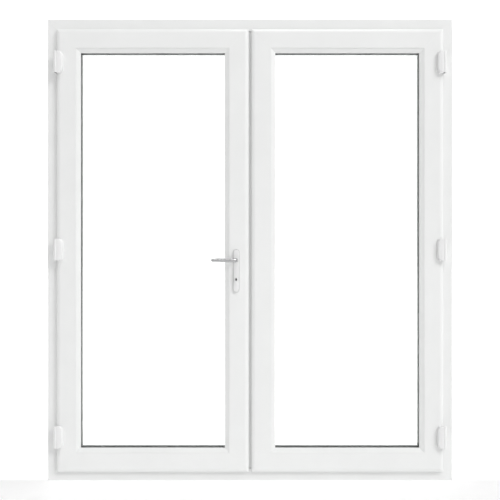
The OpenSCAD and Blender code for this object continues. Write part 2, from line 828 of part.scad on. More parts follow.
// Upper and lower rods, each with two mushroom pins
module locking_rods() {
    x1 = -edge_x - faceplate_t - rod_slack;
    spare = rod_throw + rod_gap;
    ends = [[faceplate_z[0] + spare, case_z[0] - spare],
        [case_z[1] + spare, faceplate_z[1] - spare]];
    color(satin) {
        for (e = ends) {
            box([x1 - rod_t, groove_y - rod_w / 2, e[0]], [x1, groove_y + rod_w / 2, e[1]]);
        }
        for (z = cam_zs) {
            bar_x(cam_pin_d, groove_y, z, x1 - rod_t / 2, -edge_x + cam_len);
            bar_x(cam_head_d, groove_y, z, -edge_x + cam_len - cam_head_t, -edge_x + cam_len);
        }
    }
}

module latch_bolt() {
    y0 = groove_y - latch_size[0] / 2;
    y1 = groove_y + latch_size[0] / 2;
    tip = -edge_x + latch_throw;
    color(satin) translate([0, 0, latch_z - latch_size[1] / 2]) linear_extrude(latch_size[1])
        polygon([[latch_tail, y0], [tip, y0], [tip, y0 + 2], [-edge_x + 2, y1],
            [latch_tail, y1]]);
}

module dead_bolt() {
    tip = -edge_x - dead_slack;
    color(satin) box([tip - dead_throw - dead_tail, groove_y - dead_size[0] / 2,
        dead_z - dead_size[1] / 2], [tip, groove_y + dead_size[0] / 2,
        dead_z + dead_size[1] / 2]);
}

module lock_cylinder() {
    color(satin) difference() {
        cylinder_profile(0, cylinder_y[0], cylinder_y[1]);
        bar_y(plug_d + 2 * fit, lock_x, cylinder_z, cylinder_y[0] - 1, cylinder_y[1] + 1);
        box([lock_x - cylinder_d, groove_y - cam_slot / 2, cylinder_z - cam_r - 1],
            [lock_x + cylinder_d, groove_y + cam_slot / 2, cylinder_z + cylinder_d]);
    }
}

// The turning plug with the cam that throws the dead bolt
module cylinder_plug() {
    color("silver") difference() {
        union() {
            bar_y(plug_d, lock_x, cylinder_z, cylinder_y[0], cylinder_y[1]);
            box([lock_x - cam_w / 2, groove_y - cam_slot / 2 + clear, cylinder_z - cam_r],
                [lock_x + cam_w / 2, groove_y + cam_slot / 2 - clear, cylinder_z]);
        }
        for (y = [cylinder_y[0] - 1, cylinder_y[1] - keyway[3]]) {
            box([lock_x - keyway[0] / 2, y, cylinder_z - keyway[2]],
                [lock_x + keyway[0] / 2, y + keyway[3] + 1, cylinder_z + keyway[1]]);
        }
    }
}

// ---- Handles ----

module plate(y0, y1) {
    color(white) difference() {
        hull() {
            for (s = [-1, 1]) {
                bar_y(plate_w, lock_x, plate_zmid + s * (plate_h - plate_w) / 2, y0, y1);
            }
        }
        bar_y(neck_d + 2 * fit, lock_x, lever_z, y0 - 1, y1 + 1);
        cylinder_profile(clear, y0 - 1, y1 + 1);
        for (z = screw_zs) {
            bar_y(screw_d + 2 * fit, lock_x, z, y0 - 1, y1 + 1);
        }
    }
}

module inside_plate() plate(plate_front, leaf_front);
module outside_plate() plate(leaf_back, plate_back);

module plate_screws() {
    color(satin) for (z = screw_zs) {
        bar_y(screw_d, lock_x, z, plate_front + screw_sunk, plate_back - screw_sunk);
    }
}

// Points of a quarter circle of radius r about c, from angle a0 to a0 + 90
function quarter(c, r, a0) = [for (i = [0:6]) c + r * [cos(a0 + i * 15), sin(a0 + i * 15)]];

// A lever on a plate's outer face; way is -1 for the room side
module lever(face, way) {
    neck_r = neck_d / 2;
    grip_r = grip_t / 2;
    tip_r = grip_tip_t / 2;
    edge = 3;
    neck_end = lever_clear + grip_t;
    color(satin) difference() {
        union() {
            translate([lock_x, face, lever_z]) rotate([-way * 90, 0, 0]) rotate_extrude()
                polygon(concat([[0, -plate_t], [neck_r, -plate_t]],
                    quarter([neck_r - edge, neck_end - edge], edge, 0), [[0, neck_end]]));
            translate([lock_x, face + way * (lever_clear + grip_r), lever_z])
                rotate([0, -90, 0]) rotate_extrude()
                polygon(concat([[0, 0], [grip_r, 0], [grip_r, neck_d]],
                    quarter([tip_r - edge, lever_len - edge], edge, 0), [[0, lever_len]]));
        }
        spindle_hole(min(face - way * (plate_t + 1), face + way * spindle_reach),
            max(face - way * (plate_t + 1), face + way * spindle_reach));
    }
}

module inside_lever() lever(plate_front, -1);
module outside_lever() lever(plate_back, 1);

module spindle() {
    side = spindle_side / 2;
    color(steel) box([lock_x - side, plate_front - spindle_reach, lever_z - side],
        [lock_x + side, plate_back + spindle_reach, lever_z + side]);
}

frame_head();
frame_sill();
frame_left_jamb();
frame_right_jamb();
frame_steels();
frame_gasket();
hinge_bases();
hinge_pins();
frame_keeps();
drain_caps();
left_top_rail();
left_bottom_rail();
left_hinge_stile();
left_lock_stile();
left_steels();
left_inner_pane();
left_outer_pane();
left_spacer();
left_top_bead();
left_bottom_bead();
left_hinge_bead();
left_lock_bead();
left_glazing_seals();
left_packers();
left_lip_seal();
left_hinge_flags();
right_top_rail();
right_bottom_rail();
right_hinge_stile();
right_meeting_stile();
right_steels();
right_inner_pane();
right_outer_pane();
right_spacer();
right_top_bead();
right_bottom_bead();
right_hinge_bead();
right_meeting_bead();
right_glazing_seals();
right_packers();
right_lip_seal();
right_hinge_flags();
astragal();
astragal_keeps();
top_flush_bolt();
bottom_flush_bolt();
lock_faceplate();
lock_case();
lock_follower();
locking_rods();
latch_bolt();
dead_bolt();
lock_cylinder();
cylinder_plug();
inside_plate();
outside_plate();
plate_screws();
inside_lever();
outside_lever();
spindle();
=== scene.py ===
import math

import bmesh
import bpy
import numpy as np
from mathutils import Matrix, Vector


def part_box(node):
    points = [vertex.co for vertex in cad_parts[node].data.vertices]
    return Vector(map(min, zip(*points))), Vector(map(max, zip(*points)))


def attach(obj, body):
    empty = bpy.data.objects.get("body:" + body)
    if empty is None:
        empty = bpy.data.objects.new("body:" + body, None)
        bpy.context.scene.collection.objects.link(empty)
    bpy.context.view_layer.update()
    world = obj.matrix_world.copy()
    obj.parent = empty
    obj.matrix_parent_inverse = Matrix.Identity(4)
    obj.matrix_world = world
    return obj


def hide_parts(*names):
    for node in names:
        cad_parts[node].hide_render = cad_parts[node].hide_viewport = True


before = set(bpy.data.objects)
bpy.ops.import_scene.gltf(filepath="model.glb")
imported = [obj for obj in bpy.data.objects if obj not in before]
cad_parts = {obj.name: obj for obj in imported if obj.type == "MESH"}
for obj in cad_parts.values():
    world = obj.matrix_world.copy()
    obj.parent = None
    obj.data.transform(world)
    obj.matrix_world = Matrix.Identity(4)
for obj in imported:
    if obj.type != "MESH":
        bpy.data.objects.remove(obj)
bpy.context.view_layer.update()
mm = 0.001
print("frame loaded:", len(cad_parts), "nodes")


class Val:
    # a socket, which + and * on either side turn into Math nodes
    def __init__(self, shop, link):
        self.shop, self.link = shop, link

    def op(self, name, other):
        return self.shop.node("ShaderNodeMath", {"operation": name}, {0: self, 1: other})

    def __add__(self, other):
        return self.op("ADD", other)

    def __mul__(self, other):
        return self.op("MULTIPLY", other)

    __radd__ = __add__
    __rmul__ = __mul__


class Tree:
    # a node tree, and the one way to add a node to it
    def __init__(self, owner):
        owner.use_nodes = True
        self.tree = owner.node_tree

    def node(self, kind, settings, sockets, output=0):
        made = self.tree.nodes.new(kind)
        for key, value in settings.items():
            setattr(made, key, value)
        self.feed(made, sockets)
        return Val(self, made.outputs[output])

    def feed(self, made, sockets):
        for key, value in sockets.items():
            if isinstance(value, Val):
                self.tree.links.new(value.link, made.inputs[key])
            else:
                made.inputs[key].default_value = value


class Shop(Tree):
    # where one material is mixed, on its piece's object coordinates
    def __init__(self, name):
        self.material = bpy.data.materials.new(name)
        super().__init__(self.material)
        self.place = self.node("ShaderNodeTexCoord", {}, {}, "Object")

    def noise(self, scale, detail=3.0, stretch=(1, 1, 1), rough=0.5):
        # fractal noise, stretched by a factor on each axis
        at = self.node("ShaderNodeMapping", {}, {"Vector": self.place, "Scale": stretch})
        return self.node("ShaderNodeTexNoise", {}, {"Vector": at, "Scale": scale,
                         "Detail": detail, "Roughness": rough}, "Fac")

    def tint(self, factor, low, high):
        # a colour that runs from low to high with the factor
        return self.node("ShaderNodeMix", {"data_type": "RGBA"},
                         {"Factor": factor, 6: (*low, 1), 7: (*high, 1)}, 2)

    def bump(self, height, strength, distance):
        return self.node("ShaderNodeBump", {}, {"Height": height, "Strength": strength,
                         "Distance": distance}, "Normal")

    def finish(self, **sockets):
        # the material, with what a keyword names set on its shader
        named = {key.replace("_", " "): value for key, value in sockets.items()}
        self.feed(self.tree.nodes["Principled BSDF"], named)
        return self.material


def pvcMaterial(name, along, low=(0.80, 0.805, 0.80), high=(0.84, 0.845, 0.84)):
    # satin white plastic: die lines drawn along the profile, a faint mottle and a soft sheen
    shop = Shop(name)
    stretch = [1.0 if axis == along else 60.0 for axis in range(3)]
    lines = shop.noise(14.0, 4.0, stretch)
    mottle = shop.noise(9.0, 3.0)
    grain = shop.noise(900.0, 2.0)
    return shop.finish(Base_Color=shop.tint(mottle, low, high),
                       Roughness=0.26 + mottle * 0.10 + lines * 0.06,
                       Normal=shop.bump(lines + grain * 0.25, 0.10, 0.00008),
                       Coat_Weight=0.15, Coat_Roughness=0.12, IOR=1.5)


def coatMaterial(name, low, high, roughness):
    # powder coat: even colour with the fine orange peel of a sprayed skin
    shop = Shop(name)
    peel = shop.noise(420.0, 2.0)
    mottle = shop.noise(30.0, 3.0)
    return shop.finish(Base_Color=shop.tint(mottle, low, high),
                       Roughness=roughness + mottle * 0.08,
                       Normal=shop.bump(peel, 0.15, 0.0001), Coat_Weight=0.1, Coat_Roughness=0.15)


def metalMaterial(name, low, high, roughness, stretch, scale=60.0, depth=0.25):
    # metal brushed one way: streaks in colour, roughness and a shallow bump
    shop = Shop(name)
    streak = shop.noise(scale, 5.0, stretch, 0.6)
    cloud = shop.noise(18.0, 3.0)
    return shop.finish(Base_Color=shop.tint(cloud, low, high), Metallic=1.0,
                       Roughness=roughness + streak * 0.12,
                       Normal=shop.bump(streak, depth, 0.00006))


def zincMaterial(name):
    # hot-dipped zinc: large pale spangles
    shop = Shop(name)
    cell = shop.node("ShaderNodeTexVoronoi", {}, {"Vector": shop.place, "Scale": 90.0}, "Color")
    grey = shop.node("ShaderNodeSeparateColor", {}, {"Color": cell}, "Red")
    cloud = shop.noise(14.0, 4.0)
    return shop.finish(Base_Color=shop.tint(grey * 0.6 + cloud * 0.4, (0.42, 0.43, 0.44),
                       (0.66, 0.67, 0.68)), Metallic=0.95, Roughness=0.34 + grey * 0.16,
                       Normal=shop.bump(cloud, 0.2, 0.0002))


def rubberMaterial(name, low, high, shine=0.35):
    # soft extruded seal: matt, with a dusty bloom
    shop = Shop(name)
    bloom = shop.noise(45.0, 4.0)
    grain = shop.noise(1200.0, 2.0)
    return shop.finish(Base_Color=shop.tint(bloom, low, high), Roughness=0.55 + bloom * 0.2,
                       Normal=shop.bump(grain, 0.3, 0.0001), Specular_IOR_Level=shine)


def spacerMaterial(name):
    # dark warm-edge bar with rows of fine breathing holes
    shop = Shop(name)
    dots = shop.node("ShaderNodeTexVoronoi", {}, {"Vector": shop.place, "Scale": 260.0}, "Distance")
    cloud = shop.noise(25.0, 3.0)
    return shop.finish(Base_Color=shop.tint(cloud, (0.035, 0.036, 0.038), (0.06, 0.06, 0.063)),
                       Roughness=0.45 + cloud * 0.15, Normal=shop.bump(dots, 0.25, 0.0003))


def glassMaterial(name):
    # clear float glass; the faintest waviness keeps its reflections from being perfect
    shop = Shop(name)
    wave = shop.noise(3.0, 2.0)
    return shop.finish(Base_Color=(0.985, 0.995, 0.99, 1), Roughness=0.0, IOR=1.45,
                       Transmission_Weight=1.0, Normal=shop.bump(wave, 0.02, 0.0005))


def packerMaterial(name):
    # moulded blue plastic, faintly clouded
    shop = Shop(name)
    cloud = shop.noise(40.0, 3.0)
    grain = shop.noise(700.0, 2.0)
    return shop.finish(Base_Color=shop.tint(cloud, (0.03, 0.12, 0.34), (0.05, 0.17, 0.42)),
                       Roughness=0.4 + cloud * 0.15, Normal=shop.bump(grain, 0.2, 0.0001))


pvcAlongX = pvcMaterial("whiteProfileAcross", 0)
pvcAlongZ = pvcMaterial("whiteProfileUpright", 2)
whiteCoat = coatMaterial("whiteCoat", (0.78, 0.78, 0.78), (0.81, 0.81, 0.81), 0.36)
hingeCoat = coatMaterial("hingeCoat", (0.785, 0.785, 0.785), (0.81, 0.81, 0.81), 0.42)
satinLever = metalMaterial("satinLever", (0.42, 0.42, 0.425), (0.50, 0.50, 0.505), 0.17, (1, 14, 14))
brightSteel = metalMaterial("brightSteel", (0.55, 0.56, 0.57), (0.66, 0.67, 0.68), 0.28, (12, 12, 1))
zinc = zincMaterial("galvanised")
sealGrey = rubberMaterial("sealGrey", (0.085, 0.087, 0.09), (0.12, 0.122, 0.126))
spacerDark = spacerMaterial("spacerDark")
clearGlass = glassMaterial("clearGlass")
packerBlue = packerMaterial("packerBlue")
# near-black paint for the inside of the keyway and of the hinge sockets: painted shade in these
# hollows
hollowShadeBlack = rubberMaterial("paintedHollowShade", (0.004, 0.004, 0.004), (0.007, 0.007, 0.007), 0.0)
print("materials made")


def unit(v):
    return v / np.maximum(np.linalg.norm(v, axis=-1, keepdims=True), 1e-12)


def roundOutline(corners, steps=5, support=0.4 * mm):
    # a closed outline from corners (a, b, radius): every corner becomes a tangent arc, found by
    # turning evenly from one tangent point to the other, with a support point just outside it
    data = np.array(corners, float)
    at, radius = data[:, :2], data[:, 2:3]
    back, ahead = unit(np.roll(at, 1, 0) - at), unit(np.roll(at, -1, 0) - at)
    half = np.arccos(np.clip((back * ahead).sum(1, keepdims=True), -1, 1)) / 2
    cut = radius / np.tan(half)
    centre = at + unit(back + ahead) * radius / np.sin(half)
    a, b = at + back * cut - centre, at + ahead * cut - centre
    turn = (math.pi - 2 * half)[:, :, None]
    t = np.linspace(0, 1, steps + 1)[None, :, None]
    arc = (np.sin((1 - t) * turn) * a[:, None] + np.sin(t * turn) * b[:, None]) / np.sin(turn)
    arc = arc + centre[:, None]
    points = np.concatenate([arc[:, :1] + back[:, None] * support, arc,
                             arc[:, -1:] + ahead[:, None] * support], 1)
    return points.reshape(-1, 2)


def outward(outline):
    # unit normals of a closed outline, pointing out of it
    step = np.roll(outline, -1, 0) - np.roll(outline, 1, 0)
    normal = unit(np.stack([step[:, 1], -step[:, 0]], 1))
    after = np.roll(outline, -1, 0)
    area = (outline[:, 0] * after[:, 1] - after[:, 0] * outline[:, 1]).sum()
    return normal if area > 0 else -normal


def gridFaces(rows, around, closedAlong):
    # quads between neighbouring rings of a grid that is closed around, and along if asked
    i = np.arange(rows if closedAlong else rows - 1)[:, None]
    j = np.arange(around)[None, :]
    nextI, nextJ = (i + 1) % rows, (j + 1) % around
    quads = np.stack([i * around + j, i * around + nextJ, nextI * around + nextJ,
                      nextI * around + j], -1)
    return quads.reshape(-1, 4)


def volumeOf(points, quads, caps):
    # six times the signed volume, from fans about the first point of each face
    total = 0.0
    for a, b, c in ((0, 1, 2), (0, 2, 3)):
        total += np.einsum("ij,ij->", points[quads[:, a]],
                           np.cross(points[quads[:, b]], points[quads[:, c]]))
    for cap in caps:
        fan = points[cap]
        total += np.einsum("ij,ij->", np.repeat(fan[:1], len(fan) - 2, 0),
                           np.cross(fan[1:-1], fan[2:]))
    return total


def sweepMesh(rings, closedAlong=False):
    # vertices and outward faces of a surface given as rings, shape (rows, around, 3)
    rows, around = rings.shape[:2]
    points = rings.reshape(-1, 3)
    quads = gridFaces(rows, around, closedAlong)
    caps = []
    if not closedAlong:
        caps = [np.arange(around)[::-1], np.arange(around) + (rows - 1) * around]
    if volumeOf(points, quads, caps) < 0:
        quads, caps = quads[:, ::-1], [cap[::-1] for cap in caps]
    return points, quads, caps


def makePiece(name, parts, materials, body, nodes, sharp=32.0, darkRings=()):
    # one object out of several swept parts; darkRings gives (part, first row, last row) that take
    # the second material
    points, faces, marks, base = [], [], [], 0
    for index, rings in enumerate(parts):
        closed = isinstance(rings, tuple)
        rings = rings[0] if closed else rings
        p, quads, caps = sweepMesh(rings, closed)
        around = rings.shape[1]
        mark = np.zeros(len(quads) + len(caps), int)
        for part, first, last in darkRings:
            if part == index:
                mark[first * around:last * around] = 1
                if caps and last >= rings.shape[0] - 1:
                    mark[len(quads) + 1] = 1
        points.append(p)
        faces += (quads + base).tolist() + [(cap + base).tolist() for cap in caps]
        marks.append(mark)
        base += len(p)
    mesh = bpy.data.meshes.new(name)
    mesh.from_pydata(np.concatenate(points).tolist(), [], faces)
    for material in materials:
        mesh.materials.append(material)
    mesh.polygons.foreach_set("material_index", np.concatenate(marks))
    mesh.polygons.foreach_set("use_smooth", np.ones(len(mesh.polygons), bool))
    mesh.set_sharp_from_angle(angle=math.radians(sharp))
    mesh.update()
    piece = bpy.data.objects.new(name, mesh)
    bpy.context.scene.collection.objects.link(piece)
    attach(piece, body)
    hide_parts(*nodes)
    return piece


def softened(node, material, body, width=0.4 * mm, segments=2):
    # a copy of a plain node with its seams merged, its flats joined and its edges eased
    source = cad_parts[node]
    mesh = source.data.copy()
    work = bmesh.new()
    work.from_mesh(mesh)
    bmesh.ops.remove_doubles(work, verts=work.verts, dist=0.002 * mm)
    bmesh.ops.dissolve_limit(work, angle_limit=math.radians(0.5), verts=work.verts, edges=work.edges)
    work.to_mesh(mesh)
    work.free()
    mesh.materials.clear()
    mesh.materials.append(material)
    mesh.polygons.foreach_set("use_smooth", np.ones(len(mesh.polygons), bool))
    mesh.set_sharp_from_angle(angle=math.radians(32))
    piece = bpy.data.objects.new(node + "_eased", mesh)
    bpy.context.scene.collection.objects.link(piece)
    ease = piece.modifiers.new("ease", "BEVEL")
    ease.width, ease.segments, ease.limit_method = width, segments, "ANGLE"
    ease.angle_limit = math.radians(40)
    ease.harden_normals = True
    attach(piece, body)
    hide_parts(node)
    return piece


def uprightRings(outline, z0, z1):
    # an outline (x, y) run straight up
    return np.array([np.column_stack([outline, np.full(len(outline), z)]) for z in (z0, z1)])


def placeSide(rings, side, w, h, x=0.0, z=0.0):
    # rings drawn for the bottom of a w by h rectangle, as (along, y, in), put on one of its sides
    along, y, inward = rings[..., 0], rings[..., 1], rings[..., 2]
    px, pz = {"bottom": (along, inward), "top": (-along, h - inward),
              "left": (inward - w / 2, h / 2 - along),
              "right": (w / 2 - inward, h / 2 + along)}[side]
    return np.stack([px + x, y, pz + z], -1)


def mitredRings(outline, length, groove=0.35 * mm):
    # an outline (y, in) run along X, cut at 45 degrees at both ends, where the weld leaves a groove
    normal = outward(outline)
    rings = []
    for away, depth in ((0.0, groove), (0.5 * mm, 0.0), (2 * mm, 0.0)):
        y, inward = (outline - normal * depth).T
        rings.append(np.stack([length / 2 - inward - away, y, inward], -1))
    half = np.array(rings)
    mirrored = half[::-1] * np.array([-1, 1, 1])
    return np.concatenate([half, mirrored])


def loopRings(outline, w, h, x=0.0, z=0.0):
    # an outline (y, in) carried round a w by h rectangle, one ring at each corner
    y, inward = outline.T
    rings = [np.stack([across * (w / 2 - inward) + x, y, (h - inward if top else inward) + z], -1)
             for across, top in ((-1, False), (1, False), (1, True), (-1, True))]
    return (np.array(rings),)


# places and sizes, all from the frame's boxes
frameLow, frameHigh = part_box("frame_left_jamb")
frameW = -2 * frameLow[0]
frameH = frameHigh[2]
frameFront, frameBack = frameLow[1], frameHigh[1]
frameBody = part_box("frame_keeps")[0][2]
frameLip = frameHigh[0] - frameLow[0]

leafLow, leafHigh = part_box("left_hinge_stile")
leafFront, leafBack = leafLow[1], leafHigh[1]
leafX = (leafLow[0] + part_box("left_lock_stile")[1][0]) / 2
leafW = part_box("left_lock_stile")[1][0] - leafLow[0]
leafZ, leafH = leafLow[2], leafHigh[2] - leafLow[2]
legWidth = leafHigh[0] - leafLow[0]
beadLow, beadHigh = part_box("left_hinge_bead")
beadFoot, beadSight = beadLow[0] - leafLow[0], beadHigh[0] - leafLow[0]
beadFront, beadBack = beadLow[1], beadHigh[1]
sealLow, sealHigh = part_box("left_lip_seal")
lipBack = sealLow[1]
stopSealLow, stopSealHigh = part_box("frame_gasket")

frameProfile = {"faceEdge": 1.6 * mm, "lipEdge": 3.0 * mm, "outerEdge": 0.6 * mm,
                "groove": (12 * mm, 24.5 * mm), "grooveDepth": 1.5 * mm, "grooveSlope": 0.5 * mm,
                "lipFall": 1.5 * mm}


def frameOutline():
    # the face, the rebate floor with its gasket groove, the stop's face and its sloping top
    p = frameProfile
    stopFace = stopSealHigh[1]
    near, far = (frameFront + at for at in p["groove"])
    slope, grooveFloor = p["grooveSlope"], frameBody - p["grooveDepth"]
    return roundOutline([
        (frameFront, 0, p["outerEdge"]), (frameFront, frameBody, p["faceEdge"]),
        (near, frameBody, 0.5 * mm), (near + slope, grooveFloor, 0.4 * mm),
        (far - slope, grooveFloor, 0.4 * mm), (far, frameBody, 0.5 * mm),
        (stopFace, frameBody, 1.0 * mm), (stopFace, frameLip, p["lipEdge"]),
        (frameBack, frameLip - p["lipFall"], p["lipEdge"]), (frameBack, 0, p["outerEdge"])])


pocket = {"clear": 0.4 * mm, "deep": 22 * mm, "boltWide": 9 * mm, "edge": 0.1 * mm}


def pocketRings(outline, side):
    # a head or sill with the pocket for a flush bolt: four more points on the rebate floor, the
    # middle two of which sink between two more stations along the profile
    p = pocket
    low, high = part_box("top_flush_bolt" if side == "top" else "bottom_flush_bolt")
    way = -1 if side == "top" else 1
    edge = p["edge"]
    y0, y1 = low[1] - p["clear"], high[1] + p["clear"]
    x0, x1 = sorted((way * (high[0] - p["boltWide"] - p["clear"]), way * (high[0] + p["clear"])))
    onFloor = np.flatnonzero((np.abs(outline[:, 1] - frameBody) < 1e-6) & (outline[:, 0] < y0))[-1]
    shapes = []
    for depth in (0.0, p["deep"]):
        points = [(y0, frameBody), (y0 + edge, frameBody - depth), (y1 - edge, frameBody - depth),
                  (y1, frameBody)]
        shapes.append(np.insert(outline, onFloor + 1, points, axis=0))
    full, cut = shapes
    rings = mitredRings(full, frameW)
    stations = [np.stack([np.full(len(shape), at), shape[:, 0], shape[:, 1]], -1)
                for at, shape in ((x1 + edge, full), (x1, cut), (x0, cut), (x0 - edge, full))]
    return np.concatenate([rings[:3], stations, rings[3:]])


for side, node in (("top", "frame_head"), ("bottom", "frame_sill"),
                   ("left", "frame_left_jamb"), ("right", "frame_right_jamb")):
    flat = side in ("top", "bottom")
    run = pocketRings(frameOutline(), side) if flat else mitredRings(frameOutline(), frameH)
    makePiece(node + "_profile", [placeSide(run, side, frameW, frameH)],
              [pvcAlongX if flat else pvcAlongZ], "frame", [node])

stopSeal = {"fin": 1.1 * mm, "belowLip": 2 * mm}


def finSeal(base, tip, low, high, fin):
    # a seal's section: a flat foot held in its groove and a fin that leans out to a rounded tip
    middle = (low + high) / 2
    reach = tip - base
    return roundOutline([
        (base, low, 0.3 * mm), (base, high, 0.3 * mm), (base + reach * 0.3, high, 0.4 * mm),
        (base + reach * 0.45, middle + fin, 0.5 * mm), (tip, high - 0.4 * mm, 0.35 * mm),
        (tip, middle - 0.2 * mm, 0.35 * mm), (base + reach * 0.35, low, 0.4 * mm)])


stopFin = finSeal(stopSealHigh[1], stopSealLow[1], stopSealLow[2],
                  frameLip - stopSeal["belowLip"], stopSeal["fin"])
makePiece("frame_stop_seal", [loopRings(stopFin, frameW, frameH)], [sealGrey], "frame",
          ["frame_gasket"], 50.0)
print("frame made")

leafProfile = {"steepDeep": 6.0 * mm, "bendDeep": 3.3 * mm, "bendIn": 4.0 * mm,
               "bendRound": 7.0 * mm, "shallowIn": 14.0 * mm, "shallowRound": 35.0 * mm,
               "flange": 20.0 * mm, "edge": 0.8 * mm, "legFall": 6 * mm,
               "groove": (-20 * mm, -4 * mm), "grooveDepth": 6.0 * mm}
beadProfile = {"flat": 2.0 * mm, "fall": 6.0 * mm, "arris": 0.8 * mm, "rise": 4.0 * mm,
               "seat": 2.0 * mm}
lipSeal = {"from": 1.5 * mm, "to": 6.5 * mm, "fin": 0.9 * mm, "shortBy": 0.3 * mm}
glazing = {"sealDeep": 8 * mm, "outerDeep": 6 * mm, "outerBelow": 0.5 * mm, "barTall": 9 * mm,
           "arris": 0.5 * mm, "corner": 2.0 * mm}
strip = {"end": 2 * mm, "inset": 1 * mm, "foot": 6.5 * mm, "shoulder": 6.0 * mm, "tip": 4.5 * mm,
         "shortBy": 0.3 * mm}


def leafOutline():
    # the lip's face with its wide soft edge, the glazing rebate, the leg and the hardware groove
    p = leafProfile
    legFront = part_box("left_glazing_seals")[1][1]
    low, high = p["groove"]
    flange = p["flange"]
    deep = flange + p["grooveDepth"]
    return roundOutline([
        (lipBack, 0, 0.6 * mm), (leafFront + p["steepDeep"], 0, 1.2 * mm),
        (leafFront + p["bendDeep"], p["bendIn"], p["bendRound"]),
        (leafFront, p["shallowIn"], p["shallowRound"]), (leafFront, beadFoot, p["edge"]),
        (legFront, beadFoot, 0.5 * mm), (legFront, legWidth, 1.0 * mm),
        (leafBack - p["legFall"], legWidth, 2.0 * mm), (leafBack, legWidth - p["legFall"], 2.0 * mm),
        (leafBack, flange, 0.8 * mm), (high, flange, 0.5 * mm), (high, deep, 0.4 * mm),
        (low, deep, 0.4 * mm), (low, flange, 0.5 * mm), (lipBack, flange, 0.8 * mm)])


def beadOutline():
    # foot, flat strip, slope towards the glass, wall, and the step that holds the seal's lip
    p = beadProfile
    lip = beadBack - p["rise"]
    return roundOutline([
        (beadBack, beadFoot, 0.4 * mm), (beadFront, beadFoot, 0.5 * mm),
        (beadFront, beadFoot + p["flat"], 1.2 * mm),
        (beadFront + p["fall"], beadSight - 0.3 * mm, p["arris"]), (lip, beadSight, 0.3 * mm),
        (lip, beadSight - p["seat"], 0.3 * mm), (beadBack, beadSight - p["seat"], 0.4 * mm)])


def innerSealOutline(glass):
    # a wedge behind the bead and the lip that covers its wall
    p = beadProfile
    lip = beadBack - p["rise"]
    foot = beadSight - glazing["sealDeep"]
    return roundOutline([
        (beadBack, foot, 0.3 * mm), (beadBack, beadSight - p["seat"], 0.2 * mm),
        (lip, beadSight - p["seat"], 0.2 * mm), (lip, beadSight - 0.2 * mm, 0.7 * mm),
        (glass, beadSight - 0.1 * mm, 0.3 * mm), (glass, foot, 0.3 * mm)])


def leafParts(hand, prefix, inner):
    # all that one leaf holds; hand is -1 for the left leaf, inner names its meeting side
    x = leafX if hand < 0 else -leafX
    body = prefix + "_leaf"
    stile = {"left": "hinge", "right": inner} if hand < 0 else {"left": inner, "right": "hinge"}
    for side in ("top", "bottom", "left", "right"):
        flat = side in ("top", "bottom")
        length = leafW if flat else leafH
        material = pvcAlongX if flat else pvcAlongZ
        member = f"{prefix}_{side}_rail" if flat else f"{prefix}_{stile[side]}_stile"
        bead = f"{prefix}_{side}_bead" if flat else f"{prefix}_{stile[side]}_bead"
        for node, outline, gap in ((member, leafOutline(), 0.3 * mm), (bead, beadOutline(), 0.2 * mm)):
            rings = placeSide(mitredRings(outline, length, gap), side, leafW, leafH, x, leafZ)
            makePiece(node + "_profile", [rings], [material], body, [node])

    tip = sealHigh[1] if hand < 0 else frameFront - lipSeal["shortBy"]
    lip = finSeal(lipBack, tip, lipSeal["from"], lipSeal["to"], lipSeal["fin"])
    strips = [loopRings(lip, leafW, leafH, x, leafZ)]
    if hand > 0:
        strips.append(stripRings())
    makePiece(body + "_lip_seal", strips, [sealGrey], body, [prefix + "_lip_seal"],
              50.0)

    glassIn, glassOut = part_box(prefix + "_inner_pane"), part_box(prefix + "_outer_pane")
    for which, box in (("inner", glassIn), ("outer", glassOut)):
        makePiece(f"{prefix}_{which}_glass", [paneRings(box)], [clearGlass], body,
                  [f"{prefix}_{which}_pane"])
    y0, y1, foot = glassIn[1][1], glassOut[0][1], legWidth - glazing["barTall"]
    bar = roundOutline([(y0, foot, 0.5 * mm), (y0, legWidth, 0.8 * mm), (y1, legWidth, 0.8 * mm),
                        (y1, foot, 0.5 * mm)])
    makePiece(body + "_spacer", [loopRings(bar, leafW, leafH, x, leafZ)], [spacerDark], body,
              [prefix + "_spacer"], 50.0)
    y0, y1 = glassOut[1][1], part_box(prefix + "_glazing_seals")[1][1]
    top = legWidth - glazing["outerBelow"]
    foot = top - glazing["outerDeep"]
    outer = roundOutline([(y0, foot, 0.3 * mm), (y0, top, 0.9 * mm), (y1, top, 0.9 * mm),
                          (y1, foot, 0.3 * mm)])
    wedges = [loopRings(section, leafW, leafH, x, leafZ)
              for section in (innerSealOutline(glassIn[0][1]), outer)]
    makePiece(body + "_glazing_seals", wedges, [sealGrey], body, [prefix + "_glazing_seals"],
              50.0)


def paneRings(box):
    # a pane with ground edges: a rounded rectangle that steps in at both faces
    (x0, y0, z0), (x1, y1, z1) = box
    arris, corner = glazing["arris"], glazing["corner"]
    outline = roundOutline([(x0, z0, corner), (x1, z0, corner), (x1, z1, corner), (x0, z1, corner)])
    inset = outline - outward(outline) * arris
    rings = []
    for shape, y in ((inset, y0), (outline, y0 + arris), (outline, y1 - arris), (inset, y1)):
        rings.append(np.stack([shape[:, 0], np.full(len(shape), y), shape[:, 1]], -1))
    return np.array(rings)


def stripRings():
    # the seal strip on the astragal, a fin section run straight up
    p = strip
    z0, z1 = frameLip + p["end"], frameH - frameLip - p["end"]
    x0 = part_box("astragal")[0][0] + p["inset"]
    foot, tip = stopSealHigh[1], leafBack + p["shortBy"]
    outline = roundOutline([(x0, foot, 0.3 * mm), (x0 + p["foot"], foot, 0.3 * mm),
                            (x0 + p["shoulder"], leafBack + 2 * mm, 0.6 * mm),
                            (x0 + p["tip"], tip, 0.5 * mm), (x0 + 1.0 * mm, tip, 0.5 * mm)])
    return uprightRings(outline, z0, z1)


leafParts(-1, "left", "lock")
leafParts(1, "right", "meeting")
print("leaves made")

